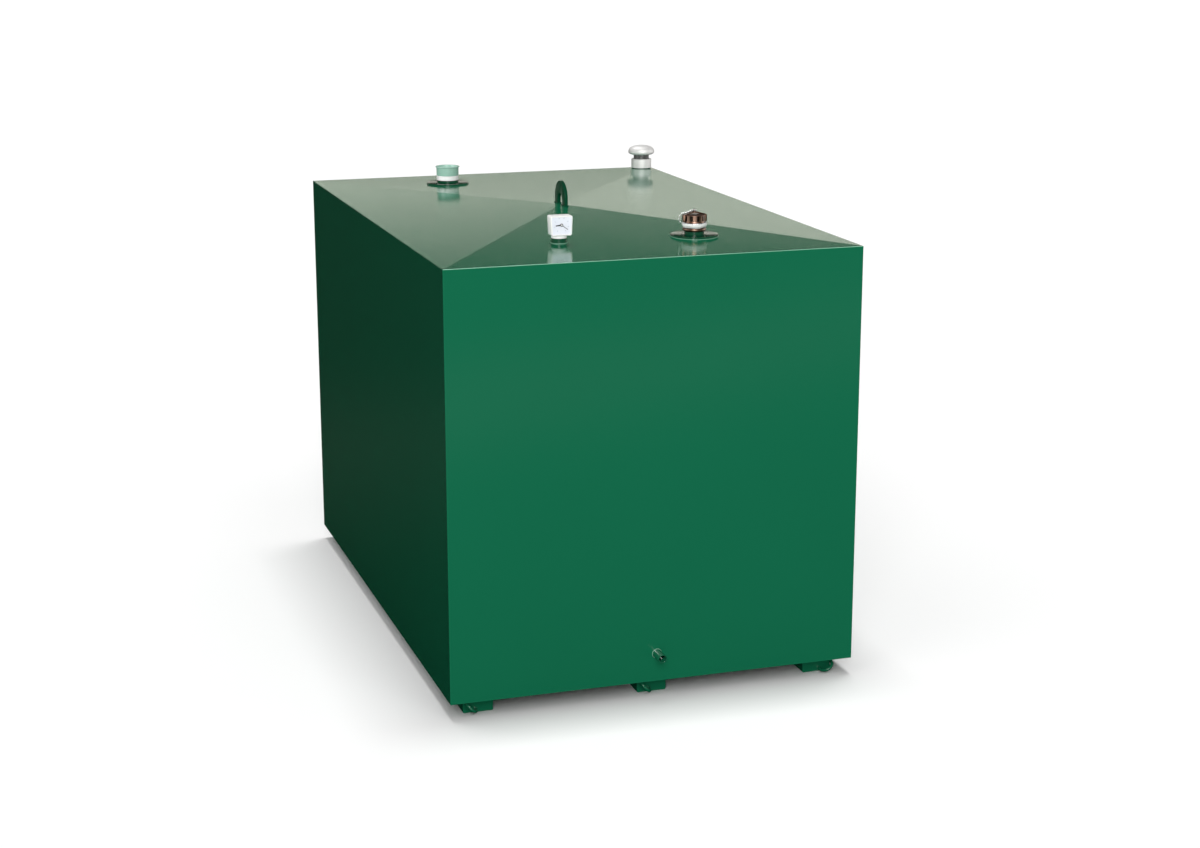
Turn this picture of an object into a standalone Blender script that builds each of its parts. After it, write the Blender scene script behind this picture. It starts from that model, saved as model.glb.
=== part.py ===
"""Box-shaped green steel oil storage tank on three skids, with a shallow cross-broken top.

Metres, +Z up, with the ground at Z = 0 under the middle of the tank and the outlet side facing -Y.
Pieces that touch are modelled 0.3 mm apart.
"""

import math

import bmesh
import bpy
from mathutils import Matrix, Vector

GAP = 0.0003
STEPS = 48

# Shell
WIDTH = 1.220
DEPTH = 1.824
BODY_HEIGHT = 1.230
SHEET = 0.003
CROSS_BREAK = 0.0193

# Skids, and the bent rods on their ends
SKID_HEIGHT = 0.048
SKID_WIDTH = 0.088
SKID_RECESS = 0.047
SKID_SPACING = 0.5187
LOOP_ROD = 0.0095
LOOP_SPACING = 0.0404
LOOP_STUB = 0.002
LOOP_STRAIGHT = 0.0073
LOOP_DROOP = math.radians(16)
LOOP_OFFSET = 0.008
LOOP_HEIGHT = 0.0100
LOOP_BENDS = 16
LEAN_LEFT = math.radians(134)
LEAN_RIGHT = math.radians(32)

# Outlet, a short pipe stub low on the front wall
OUTLET_DIAMETER = 0.0269
OUTLET_BORE = 0.0213
OUTLET_LENGTH = 0.0503
OUTLET_INSIDE = 0.006
OUTLET_HEIGHT = 0.1313

# Lifting eye, a plate across the top
EYE_THICKNESS = 0.010
EYE_LENGTH = 0.106
EYE_STRAIGHT = 0.0200
EYE_SLOT = 0.046
EYE_SLOT_STRAIGHT = 0.0152

# Places of the fittings on the top, the depth that their feet reach before they are cut to the
# roof's slope, and the flanges under two of them
FILL_PLACE = (0.2078, -0.6252)
DIP_PLACE = (-0.1994, 0.6545)
GAUGE_PLACE = (-0.2005, -0.6274)
VENT_PLACE = (0.5687, 0.876)
ROOF_OVERLAP = 0.006
SEAT_DEPTH = 0.012
FLANGE_DIAMETER = 0.140
FLANGE_THICKNESS = 0.0045
FLANGE_EDGE = 0.0008
SOCKET_HEIGHT = 0.0089

# Fill point, with heights above its flange
FILL_SOCKET_DIAMETER = 0.0572
FILL_RING_DIAMETER = 0.070
FILL_RING_TOP = 0.0207
FILL_SEAL_DIAMETER = 0.0728
FILL_SEAL_TOP = 0.0327
FILL_CAP_DIAMETER = 0.0592
FILL_CAP_RIBS_LOW = 0.0395
FILL_CAP_RIBS_HIGH = 0.0545
FILL_CAP_SHOULDER = 0.0605
FILL_CAP_CONE_TOP = 0.0660
FILL_CAP_TOP = 0.0723
FILL_KNOB_DIAMETER = 0.0096
FILL_LUG_WIDTH = 0.015
FILL_LUG_HEIGHT = 0.0183
FILL_SLOTS = 12
FILL_SLOT_WIDTH = 0.004
CHAIN_DIAMETER = 0.0024

# Dip point, with heights above its flange
DIP_SOCKET_DIAMETER = 0.0716
DIP_SEAL_DIAMETER = 0.0736
DIP_SEAL_GROOVE = 0.0178
DIP_SEAL_TOP = 0.0243
DIP_CAP_DIAMETER = 0.0742
DIP_RIM_DIAMETER = 0.0802
DIP_RIM_HEIGHT = 0.0033
DIP_CAP_TOP = 0.0553
DIP_RECESS_DIAMETER = 0.065
DIP_RECESS_DEPTH = 0.0078

# Contents gauge, with heights above the roof
GAUGE_SOCKET_DIAMETER = 0.045
GAUGE_SOCKET_TOP = 0.0142
GAUGE_COLLAR_DIAMETER = 0.0444
GAUGE_NECK_DIAMETER = 0.038
GAUGE_COLLAR_TOP = 0.0192
GAUGE_CASE_LOW = 0.0238
GAUGE_CASE_HIGH = 0.0801
GAUGE_CASE_FRONT = -0.0295
GAUGE_CASE_BACK = 0.0080
GAUGE_CASE_WIDTH = 0.0652
GAUGE_CASE_TAPER = 0.92
GAUGE_FRAME = 0.0035
GAUGE_WELL = 0.0045
GAUGE_HUB_HEIGHT = 0.0540
GAUGE_HUB_DIAMETER = 0.0088
NEEDLE_LENGTH = 0.0172
NEEDLE_ANGLE = math.radians(185)
MARKER_LENGTH = 0.0230
MARKER_ANGLE = math.radians(-36)

# Vent, with heights above the roof
VENT_BODY_DIAMETER = 0.0706
VENT_BODY_TOP = 0.0339
VENT_NECK_DIAMETER = 0.0542
VENT_NECK_TOP = 0.0485
VENT_CAP_DIAMETER = 0.0928
VENT_RIM_HEIGHT = 0.0590
VENT_CAP_TOP = 0.0813

BODY_TOP = SKID_HEIGHT + BODY_HEIGHT
PEAK = BODY_TOP + CROSS_BREAK
FRONT = -DEPTH / 2
SKID_LENGTH = DEPTH - 2 * SKID_RECESS

GREEN = ((0.010, 0.130, 0.070), 0.35, 0.0)
PALE_GREEN = ((0.300, 0.560, 0.460), 0.25, 0.0)
BRONZE = ((0.300, 0.180, 0.110), 0.30, 1.0)
ALUMINIUM = ((0.620, 0.610, 0.600), 0.30, 1.0)
SHADED_METAL = ((0.160, 0.160, 0.160), 0.40, 1.0)
STEEL = ((0.550, 0.550, 0.560), 0.30, 1.0)
WHITE = ((0.800, 0.790, 0.780), 0.30, 0.0)
BLUE_WHITE = ((0.760, 0.820, 0.900), 0.30, 0.0)
BLACK = ((0.020, 0.020, 0.022), 0.40, 0.0)
GREY = ((0.180, 0.190, 0.200), 0.40, 0.0)


def collection(name, for_helpers=False):
    made = bpy.data.collections.new(name)
    bpy.context.scene.collection.children.link(made)
    made.hide_render = for_helpers
    return made


def finish(name, look):
    colour, roughness, metallic = look
    made = bpy.data.materials.new(name)
    made.use_nodes = True
    shader = made.node_tree.nodes["Principled BSDF"]
    shader.inputs["Base Color"].default_value = (*colour, 1.0)
    shader.inputs["Roughness"].default_value = roughness
    shader.inputs["Metallic"].default_value = metallic
    made.diffuse_color = (*colour, 1.0)
    return made


def piece(name, data, look, parent=None):
    obj = bpy.data.objects.new(name, data)
    TANK.objects.link(obj)
    data.materials.append(finish(name + "_finish", look))
    obj.parent = parent
    return obj


def cutter(name, data, parent=None):
    obj = bpy.data.objects.new(name, data)
    CUTTERS.objects.link(obj)
    obj.hide_render = True
    obj.display_type = "WIRE"
    obj.parent = parent
    return obj


def join_or_cut(obj, other, operation="DIFFERENCE"):
    step = obj.modifiers.new(other.name, "BOOLEAN")
    step.operation = operation
    step.solver = "EXACT"
    step.object = other


def round_edges(obj, width, segments=3):
    step = obj.modifiers.new("Rounding", "BEVEL")
    step.width = width
    step.segments = segments
    step.limit_method = "ANGLE"


def box(name, low, high, taper=1.0):
    """A cuboid between two corners. Its lower end is narrowed across X by the taper."""
    middle = (Vector(low) + Vector(high)) / 2
    size = Vector(high) - Vector(low)
    shape = bmesh.new()
    bmesh.ops.create_cube(shape, size=1.0, matrix=Matrix.Translation(middle) @ Matrix.Diagonal((*size, 1.0)))
    for corner in shape.verts:
        if corner.co.z < middle.z:
            corner.co.x *= taper
    return mesh_of(name, shape)


def cylinder(name, radius, length):
    shape = bmesh.new()
    bmesh.ops.create_cone(
        shape, cap_ends=True, segments=STEPS, radius1=radius, radius2=radius, depth=length
    )
    return mesh_of(name, shape)


def mesh_of(name, shape):
    data = bpy.data.meshes.new(name)
    shape.to_mesh(data)
    shape.free()
    return data


def turned(name, profile, look, parent=None, closed=False):
    """A profile of (radius, height) points, outer side from top to bottom, turned about Z."""
    data = bpy.data.meshes.new(name)
    count = len(profile)
    edges = [(i, i + 1) for i in range(count - 1)]
    if closed:
        edges.append((count - 1, 0))
    data.from_pydata([(radius, 0.0, height) for radius, height in profile], edges, [])
    obj = piece(name, data, look, parent)
    turn = obj.modifiers.new("Turned", "SCREW")
    turn.steps = STEPS
    turn.render_steps = STEPS
    turn.use_merge_vertices = True
    turn.merge_threshold = 1e-5
    turn.use_smooth_shade = True
    return obj


def drum(diameter, low, high, edge=0.001):
    """Profile of a plain round piece with its corners taken off."""
    radius = diameter / 2
    top = [(0.0, high), (radius - edge, high), (radius, high - edge)]
    return top + [(radius, low + edge), (radius - edge, low), (0.0, low)]


def arc(centre, across, up, start, end, count):
    """Points along part of an ellipse, between two angles in degrees."""
    turns = [math.radians(start + (end - start) * k / count) for k in range(count + 1)]
    return [(centre[0] + across * math.cos(turn), centre[1] + up * math.sin(turn)) for turn in turns]


def rod(name, points, diameter, look, parent=None):
    path = bpy.data.curves.new(name, "CURVE")
    path.dimensions = "3D"
    path.bevel_depth = diameter / 2
    path.bevel_resolution = 2
    path.use_fill_caps = True
    spline = path.splines.new("POLY")
    spline.points.add(len(points) - 1)
    for knot, point in zip(spline.points, points):
        knot.co = (*point, 1.0)
    return piece(name, path, look, parent)


def plate(name, outline, thickness, look):
    """A flat outline in the local XY plane, half its thickness to each side."""
    path = bpy.data.curves.new(name, "CURVE")
    path.dimensions = "2D"
    path.fill_mode = "BOTH"
    path.extrude = thickness / 2
    spline = path.splines.new("POLY")
    spline.points.add(len(outline) - 1)
    spline.use_cyclic_u = True
    for knot, point in zip(spline.points, outline):
        knot.co = (*point, 0.0, 1.0)
    return piece(name, path, look)


def cross_broken_sheet(name, rise):
    """A flat sheet of the tank's outline, broken corner to corner so that its middle stands up."""
    shape = bmesh.new()
    size = Matrix.Diagonal((WIDTH, DEPTH, 1, 1))
    bmesh.ops.create_grid(shape, x_segments=1, y_segments=1, size=0.5, matrix=size)
    middle = bmesh.ops.poke(shape, faces=shape.faces[:])["verts"][0]
    middle.co.z = CROSS_BREAK
    bmesh.ops.translate(shape, verts=shape.verts[:], vec=(0, 0, rise))
    return mesh_of(name, shape)


def thicken(obj, thickness):
    step = obj.modifiers.new("Sheet", "SOLIDIFY")
    step.thickness = thickness
    step.offset = -1.0
    step.use_even_offset = True


def roof_height(x, y):
    return PEAK - CROSS_BREAK * max(2 * abs(x) / WIDTH, 2 * abs(y) / DEPTH)


def station(name, place):
    """An empty on the roof that a fitting's pieces hang from. The fittings stand plumb."""
    x, y = place
    obj = bpy.data.objects.new(name, None)
    TANK.objects.link(obj)
    obj.empty_display_size = 0.05
    obj.location = (x, y, roof_height(x, y))
    return obj


def seat_on_roof(obj):
    """Cuts a level piece's foot to the slope of the roof under it."""
    seat = cutter(obj.name + "_seat", cross_broken_sheet(obj.name + "_seat", BODY_TOP + GAP))
    thicken(seat, SEAT_DEPTH)
    join_or_cut(obj, seat)


def build_shell():
    x, y = WIDTH / 2, DEPTH / 2
    low = SKID_HEIGHT + SHEET + GAP
    high = BODY_TOP - SHEET - 2 * GAP
    side = y - SHEET - GAP
    piece("floor_plate", box("floor_plate", (-x, -y, SKID_HEIGHT), (x, y, SKID_HEIGHT + SHEET)), GREEN)
    front = piece("front_wall", box("front_wall", (-x, -y, low), (x, SHEET - y, high)), GREEN)
    piece("back_wall", box("back_wall", (-x, y - SHEET, low), (x, y, high)), GREEN)
    piece("left_wall", box("left_wall", (-x, -side, low), (SHEET - x, side, high)), GREEN)
    piece("right_wall", box("right_wall", (x - SHEET, -side, low), (x, side, high)), GREEN)
    hole = cutter("outlet_hole", cylinder("outlet_hole", OUTLET_DIAMETER / 2 + GAP, 4 * SHEET))
    hole.location = (0, FRONT, OUTLET_HEIGHT)
    hole.rotation_euler.x = math.radians(90)
    join_or_cut(front, hole)
    roof = piece("roof_panel", cross_broken_sheet("roof_panel", BODY_TOP), GREEN)
    thicken(roof, SHEET)


def build_skid(name, centre):
    """A folded tray: a channel with closed ends, open upwards against the floor plate."""
    x, y = SKID_WIDTH / 2, SKID_LENGTH / 2
    tray = piece(name, box(name, (centre - x, -y, 0), (centre + x, y, SKID_HEIGHT - GAP)), GREEN)
    low, high = (centre - x + SHEET, SHEET - y, SHEET), (centre + x - SHEET, y - SHEET, SKID_HEIGHT)
    join_or_cut(tray, cutter(name + "_inside", box(name + "_inside", low, high)))


def build_loop(name, centre, lean, end):
    """A bent rod on a skid's end. It drops outwards, and the lean turns it about Y. The front end is -1."""
    across = Vector((math.cos(lean), 0, math.sin(lean)))
    outwards = Vector((0, end, 0))
    reach = Vector((0, end * math.cos(LOOP_DROOP), -math.sin(LOOP_DROOP)))
    reach = (reach - across * reach.dot(across)).normalized()
    place = centre + math.copysign(LOOP_OFFSET, across.x)
    foot = Vector((place, end * (SKID_LENGTH / 2 + GAP), LOOP_HEIGHT))
    start = foot + outwards * LOOP_STUB
    radius = LOOP_SPACING / 2
    bend = arc((radius, LOOP_STRAIGHT), radius, radius, 180, 0, LOOP_BENDS)
    points = [foot, start] + [start + across * a + reach * b for a, b in bend]
    points += [start + across * LOOP_SPACING, foot + across * LOOP_SPACING]
    rod(name, points, LOOP_ROD, GREEN)


def build_outlet():
    radius, bore, edge = OUTLET_DIAMETER / 2, OUTLET_BORE / 2, 0.0008
    profile = [(bore, OUTLET_LENGTH), (radius - edge, OUTLET_LENGTH), (radius, OUTLET_LENGTH - edge)]
    profile += [(radius, -OUTLET_INSIDE), (bore, -OUTLET_INSIDE)]
    pipe = turned("outlet_nipple", profile, GREEN, closed=True)
    pipe.location = (0, FRONT, OUTLET_HEIGHT)
    pipe.rotation_euler.x = math.radians(90)


def build_lifting_eye():
    """The plate stands across the peak, so its two feet follow the front and back facets."""
    fall = 2 * CROSS_BREAK / DEPTH
    half, slot = EYE_LENGTH / 2, EYE_SLOT / 2
    crown = arc((0, EYE_STRAIGHT), half, half, 0, 180, 16)
    slot_crown = arc((0, EYE_SLOT_STRAIGHT), slot, slot, 180, 0, 12)
    outline = [(half, -fall * half)] + crown + [(-half, -fall * half)]
    outline += [(-slot, -fall * slot)] + slot_crown + [(slot, -fall * slot)]
    eye = plate("lifting_eye", outline, EYE_THICKNESS, GREEN)
    eye.location.z = PEAK + GAP
    eye.rotation_euler = (math.radians(90), 0, math.radians(90))


def build_flange(name, parent):
    disc = drum(FLANGE_DIAMETER, -ROOF_OVERLAP, GAP + FLANGE_THICKNESS, FLANGE_EDGE)
    seat_on_roof(turned(name, disc, GREEN, parent))
    top = bpy.data.objects.new(name + "_top", None)
    TANK.objects.link(top)
    top.parent = parent
    top.location.z = GAP + FLANGE_THICKNESS
    return top


def build_fill_point():
    top = build_flange("fill_flange", station("fill_station", FILL_PLACE))
    turned("fill_socket", drum(FILL_SOCKET_DIAMETER, GAP, SOCKET_HEIGHT), GREEN, top)
    ring_low = SOCKET_HEIGHT + GAP
    bulge = (FILL_RING_TOP - ring_low) / 2
    ring = arc((FILL_RING_DIAMETER / 2 - bulge, ring_low + bulge), bulge, bulge, 90, -90, 8)
    turned("fill_base_ring", [(0.0, FILL_RING_TOP)] + ring + [(0.0, ring_low)], BRONZE, top)
    build_fill_seal(top)
    build_fill_cap(top)
    build_chain(top)


def build_fill_seal(top):
    """A soft washer that cups up round the foot of the cap."""
    low, radius, lip = FILL_RING_TOP + GAP, FILL_SEAL_DIAMETER / 2, 0.0013
    seat = FILL_CAP_DIAMETER / 2 + lip
    side = arc((radius - 2 * lip, FILL_SEAL_TOP - lip), 2 * lip, 2 * lip, 90, 0, 4)
    foot = [(radius - lip, low + 3 * lip), (radius - 3 * lip, low), (0.0, low)]
    turned("fill_seal", [(0.0, FILL_SEAL_TOP), (seat, FILL_SEAL_TOP)] + side + foot, WHITE, top)


def build_fill_cap(top):
    radius, knob, edge = FILL_CAP_DIAMETER / 2, FILL_KNOB_DIAMETER / 2, 0.0008
    waist = radius - 3 * edge
    knob_middle = FILL_CAP_TOP - knob * 0.6
    profile = arc((0.0, knob_middle), knob, knob * 0.6, 90, -40, 6)
    profile += [(knob * 0.8, FILL_CAP_CONE_TOP + edge), (knob * 1.4, FILL_CAP_CONE_TOP)]
    profile += [(radius - 3 * edge, FILL_CAP_SHOULDER + edge), (radius, FILL_CAP_SHOULDER)]
    profile += [(radius, FILL_CAP_RIBS_HIGH + edge), (waist, FILL_CAP_RIBS_HIGH)]
    profile += [(waist, FILL_CAP_RIBS_LOW + edge), (radius, FILL_CAP_RIBS_LOW)]
    profile += [(radius, FILL_SEAL_TOP + GAP), (0.0, FILL_SEAL_TOP + GAP)]
    cap = turned("fill_cap", profile, BRONZE, top)
    middle = FILL_CAP_RIBS_LOW + FILL_LUG_HEIGHT / 2
    for side, name in ((-1, "fill_lug_left"), (1, "fill_lug_right")):
        reach = sorted((side * (waist - 4 * edge), side * FILL_SEAL_DIAMETER / 2))
        low = (reach[0], -FILL_LUG_WIDTH / 2, middle - FILL_LUG_HEIGHT / 2)
        high = (reach[1], FILL_LUG_WIDTH / 2, middle + FILL_LUG_HEIGHT / 2)
        lug = cutter(name, box(name, low, high), top)
        round_edges(lug, FILL_LUG_WIDTH / 4)
        join_or_cut(cap, lug, "UNION")
    join_or_cut(cap, cutter("fill_cap_slots", radial_slots(waist - 4 * edge, radius + edge), top))


def radial_slots(inner, outer):
    """The slots between the cap's ribs, left out behind the two lugs."""
    shape = bmesh.new()
    low, high = FILL_CAP_RIBS_LOW + 2 * FILL_SLOT_WIDTH / 4, FILL_CAP_RIBS_HIGH - FILL_SLOT_WIDTH / 4
    size = Matrix.Diagonal((outer - inner, FILL_SLOT_WIDTH, high - low, 1.0))
    for k in range(FILL_SLOTS):
        turn = 2 * math.pi * k / FILL_SLOTS
        if abs(math.sin(turn)) * inner < FILL_LUG_WIDTH / 2 + FILL_SLOT_WIDTH / 2:
            continue
        place = Matrix.Rotation(turn, 4, "Z") @ Matrix.Translation(((inner + outer) / 2, 0, (low + high) / 2))
        bmesh.ops.create_cube(shape, size=1.0, matrix=place @ size)
    return mesh_of("fill_cap_slots", shape)


def build_chain(top):
    """The retaining chain, held at the cap's knob and at its foot, along the way that it hangs."""
    heading = Vector((-0.95, 0.31, 0.0))
    at_knob = (FILL_KNOB_DIAMETER + CHAIN_DIAMETER) / 2 + GAP
    at_foot = (FILL_SEAL_DIAMETER + CHAIN_DIAMETER) / 2 + GAP
    route = [(at_knob, 0.0694), (0.0080, 0.0707), (0.0115, 0.0705), (0.0160, 0.0683), (0.0215, 0.0660)]
    route += [(0.0270, 0.0640), (0.0325, 0.0607), (0.0370, 0.0560), (0.0400, 0.0505), (0.0415, 0.0445)]
    route += [(0.0412, 0.0395), (0.0395, 0.0350), (at_foot, FILL_SEAL_TOP - CHAIN_DIAMETER / 2)]
    rod("cap_chain", [heading * away + Vector((0, 0, up)) for away, up in route], CHAIN_DIAMETER, STEEL, top)


def build_dip_point():
    top = build_flange("dip_flange", station("dip_station", DIP_PLACE))
    edge = 0.0007
    turned("dip_socket", drum(DIP_SOCKET_DIAMETER, GAP, SOCKET_HEIGHT), GREEN, top)
    lower = drum(DIP_SEAL_DIAMETER, SOCKET_HEIGHT + GAP, DIP_SEAL_GROOVE, edge)
    upper = drum(DIP_SEAL_DIAMETER, DIP_SEAL_GROOVE, DIP_SEAL_TOP, edge)
    turned("dip_seal", upper[:-1] + lower[2:], WHITE, top)
    radius, rim, recess = DIP_CAP_DIAMETER / 2, DIP_RIM_DIAMETER / 2, DIP_RECESS_DIAMETER / 2
    floor, low = DIP_CAP_TOP - DIP_RECESS_DEPTH, DIP_SEAL_TOP + GAP
    under = DIP_CAP_TOP - DIP_RIM_HEIGHT
    profile = [(0.0, floor), (recess, floor), (recess + edge, DIP_CAP_TOP - 2 * edge), (radius, DIP_CAP_TOP)]
    profile += arc((rim - 2 * edge, DIP_CAP_TOP - 2 * edge), 2 * edge, 2 * edge, 90, -60, 4)
    profile += [(radius + edge, under), (radius, under - 2 * edge)]
    profile += [(radius, low + edge), (radius - edge, low), (0.0, low)]
    turned("dip_cap", profile, PALE_GREEN, top)


def build_gauge():
    base = station("gauge_station", GAUGE_PLACE)
    socket = turned("gauge_socket", drum(GAUGE_SOCKET_DIAMETER, -ROOF_OVERLAP, GAUGE_SOCKET_TOP), GREEN, base)
    seat_on_roof(socket)
    neck = GAUGE_NECK_DIAMETER / 2
    collar = drum(GAUGE_COLLAR_DIAMETER, GAUGE_SOCKET_TOP + GAP, GAUGE_COLLAR_TOP)[1:]
    neck_top = GAUGE_CASE_LOW - GAP
    turned("gauge_collar", [(0.0, neck_top), (neck, neck_top), (neck, GAUGE_COLLAR_TOP)] + collar, WHITE, base)
    wide, deep = GAUGE_CASE_WIDTH / 2, GAUGE_CASE_FRONT
    low, high = (-wide, deep, GAUGE_CASE_LOW), (wide, GAUGE_CASE_BACK, GAUGE_CASE_HIGH)
    case = piece("gauge_housing", box("gauge_housing", low, high, GAUGE_CASE_TAPER), WHITE, base)
    round_edges(case, GAUGE_FRAME)
    well_floor = deep + GAUGE_WELL
    join_or_cut(case, cutter("gauge_well", gauge_face("gauge_well", 0.0, deep - GAUGE_WELL, well_floor), base))
    face = gauge_face("gauge_dial", GAP, well_floor - GAP - 0.001, well_floor - GAP)
    piece("gauge_dial", face, BLUE_WHITE, base)
    build_hands(base, well_floor - GAP - 0.001)


def gauge_face(name, margin, front, back):
    """The tapered space inside the gauge's frame, less a margin."""
    inset = GAUGE_FRAME + margin
    half = GAUGE_CASE_WIDTH / 2 - inset
    low, high = (-half, front, GAUGE_CASE_LOW + inset), (half, back, GAUGE_CASE_HIGH - inset)
    return box(name, low, high, GAUGE_CASE_TAPER)


def build_hands(base, dial_front):
    """The hub stands on the dial, and the needle and the marker stop short of its rim."""
    axis = bpy.data.objects.new("gauge_axis", None)
    TANK.objects.link(axis)
    axis.parent = base
    axis.location = (0, dial_front, GAUGE_HUB_HEIGHT)
    axis.rotation_euler.x = math.radians(90)
    turned("gauge_hub", drum(GAUGE_HUB_DIAMETER, GAP, GAP + 0.0014, 0.0004), GREY, axis)
    start = GAUGE_HUB_DIAMETER / 2 + GAP
    needle = box("gauge_needle", (start, -0.0011, 2 * GAP), (NEEDLE_LENGTH, 0.0011, 4 * GAP))
    piece("gauge_needle", needle, BLACK, axis).rotation_euler.z = NEEDLE_ANGLE
    marker = box("gauge_marker", (start, -0.0005, 2 * GAP), (MARKER_LENGTH, 0.0005, 4 * GAP))
    piece("gauge_marker", marker, GREY, axis).rotation_euler.z = MARKER_ANGLE


def build_vent():
    """Near a corner, so two facets meet under its foot."""
    base = station("vent_station", VENT_PLACE)
    seat_on_roof(turned("vent_body", drum(VENT_BODY_DIAMETER, -ROOF_OVERLAP, VENT_BODY_TOP), ALUMINIUM, base))
    turned("vent_neck", drum(VENT_NECK_DIAMETER, VENT_BODY_TOP + GAP, VENT_NECK_TOP), SHADED_METAL, base)
    radius, low = VENT_CAP_DIAMETER / 2, VENT_NECK_TOP + GAP
    dome = arc((0.0, VENT_RIM_HEIGHT), radius, VENT_CAP_TOP - VENT_RIM_HEIGHT, 90, 0, 10)
    under = arc((radius * 0.8, VENT_RIM_HEIGHT), radius * 0.2, VENT_RIM_HEIGHT - low, -20, -90, 4)
    turned("vent_cap", dome + under + [(0.0, low)], ALUMINIUM, base)


for leftover in list(bpy.data.objects):
    bpy.data.objects.remove(leftover, do_unlink=True)
TANK = collection("Storage tank")
CUTTERS = collection("Cutters", for_helpers=True)
build_shell()
SKIDS = (("left", -SKID_SPACING, LEAN_LEFT), ("centre", 0.0, LEAN_LEFT), ("right", SKID_SPACING, LEAN_RIGHT))
for side, centre, lean in SKIDS:
    build_skid(side + "_skid", centre)
    build_loop(side + "_front_loop", centre, lean, -1)
    build_loop(side + "_rear_loop", centre, lean, 1)
build_outlet()
build_lifting_eye()
build_fill_point()
build_dip_point()
build_gauge()
build_vent()
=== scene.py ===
import math
import random

import bpy
from mathutils import Matrix, Vector


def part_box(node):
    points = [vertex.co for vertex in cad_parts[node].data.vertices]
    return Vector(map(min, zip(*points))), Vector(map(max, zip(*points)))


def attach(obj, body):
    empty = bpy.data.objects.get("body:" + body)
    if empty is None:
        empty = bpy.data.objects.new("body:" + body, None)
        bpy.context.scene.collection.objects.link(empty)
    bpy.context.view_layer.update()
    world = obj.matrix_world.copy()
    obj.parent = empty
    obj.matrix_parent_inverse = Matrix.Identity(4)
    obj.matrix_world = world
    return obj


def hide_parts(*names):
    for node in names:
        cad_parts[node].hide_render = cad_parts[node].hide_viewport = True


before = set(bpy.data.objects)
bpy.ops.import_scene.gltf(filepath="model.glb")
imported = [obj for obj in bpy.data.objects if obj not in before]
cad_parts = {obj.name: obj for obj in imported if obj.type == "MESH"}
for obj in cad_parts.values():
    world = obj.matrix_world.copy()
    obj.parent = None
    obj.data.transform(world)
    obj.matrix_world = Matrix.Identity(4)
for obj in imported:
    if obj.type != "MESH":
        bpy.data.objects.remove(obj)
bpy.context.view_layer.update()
scene = bpy.context.scene


# Studio: the photograph's camera, a plain white floor and soft light from a pale studio. The floor
# only catches the tank's soft shadow, so that the walls keep their deep green. The lens, the place
# and the turn of the camera were solved from the straight edges of the tank's body.
camera_data = bpy.data.cameras.new("photograph_camera")
camera_data.sensor_width = 36.0
camera_data.lens = 64.48
camera_data.clip_end = 200.0
camera = bpy.data.objects.new("photograph_camera", camera_data)
camera.location = (-1.9601, -6.3751, 2.2782)
camera.rotation_euler = (math.radians(90 - 14.213), 0, math.radians(-18.127))
scene.collection.objects.link(camera)
scene.camera = camera
scene.view_settings.view_transform = "Standard"


def linear(colour):
    """An sRGB hex colour as the linear colour that a shader takes."""
    parts = [int(colour[k:k + 2], 16) / 255 for k in (1, 3, 5)]
    return (*[c / 12.92 if c <= 0.04045 else ((c + 0.055) / 1.055) ** 2.4 for c in parts], 1.0)


def add(tree, kind, inputs=None, **settings):
    """Adds a shader node with its settings. Each input is given a value or the output that feeds it."""
    made = tree.nodes.new("ShaderNode" + kind)
    for name, value in settings.items():
        setattr(made, name, value)
    for socket, value in (inputs or {}).items():
        if isinstance(value, bpy.types.NodeSocket):
            tree.links.new(value, made.inputs[socket])
        else:
            made.inputs[socket].default_value = value
    return made


# The studio's glow, as (degrees above the horizon, share of white). The walls mirror the dim part
# below the horizon. The bright band at 7 to 9 degrees is what the sloping roof mirrors, and gives it
# its pale sheen. The glow comes back overhead, above DOME_FOOT, a height on a sphere of radius 1.
STUDIO_GLOW = ((-23, 0.0), (-18, 0.006), (-14.6, 0.024), (-12.5, 0.010), (-3, 0.010), (0, 0.15), (3, 0.22),
               (5.2, 0.42), (6.6, 0.64), (7.5, 2.15), (8.4, 1.36), (9.2, 0.40), (10.0, 0.02), (11.0, 0.0))
STUDIO_TINT = (0.97, 0.93, 0.83)
RAMP_FOOT, RAMP_HEAD = -0.4, 0.3
DOME_FOOT, DOME_LEVEL = 0.2, 0.30
world = bpy.data.worlds.new("pale_studio")
scene.world = world
world.use_nodes = True
sky = world.node_tree
sky.nodes.clear()
ray = add(sky, "TexCoord").outputs["Generated"]
up = add(sky, "SeparateXYZ", {0: ray}).outputs["Z"]
along = add(sky, "MapRange", {"Value": up, "From Min": RAMP_FOOT, "From Max": RAMP_HEAD})
ramp = add(sky, "ValToRGB", {0: along.outputs[0]})
stops = ramp.color_ramp.elements
for k, (elevation, level) in enumerate(STUDIO_GLOW):
    at = (math.sin(math.radians(elevation)) - RAMP_FOOT) / (RAMP_HEAD - RAMP_FOOT)
    stop = stops[k] if k < 2 else stops.new(at)
    stop.position = at
    stop.color = (*[share * level for share in STUDIO_TINT], 1.0)
dome = add(sky, "MapRange", {"Value": up, "From Min": DOME_FOOT, "To Max": DOME_LEVEL}).outputs[0]
light = add(sky, "VectorMath", {0: ramp.outputs[0], 1: dome}, operation="ADD").outputs[0]
seen = add(sky, "LightPath").outputs["Is Camera Ray"]
glow = add(sky, "Background", {"Color": light}).outputs[0]
paper = add(sky, "Background", {"Color": (1.0, 1.0, 1.0, 1.0)}).outputs[0]
either = add(sky, "MixShader", {0: seen, 1: glow, 2: paper}).outputs[0]
add(sky, "OutputWorld", {"Surface": either})


def grained(name):
    """A new material, with its node tree, its shader and the place on the piece in metres."""
    made = bpy.data.materials.new(name)
    made.use_nodes = True
    tree = made.node_tree
    shader = tree.nodes["Principled BSDF"]
    return made, tree, shader, add(tree, "TexCoord").outputs["Object"]


SQUARE = ((-1, -1), (1, -1), (1, 1), (-1, 1))
FLOOR_REACH = 60.0


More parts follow.
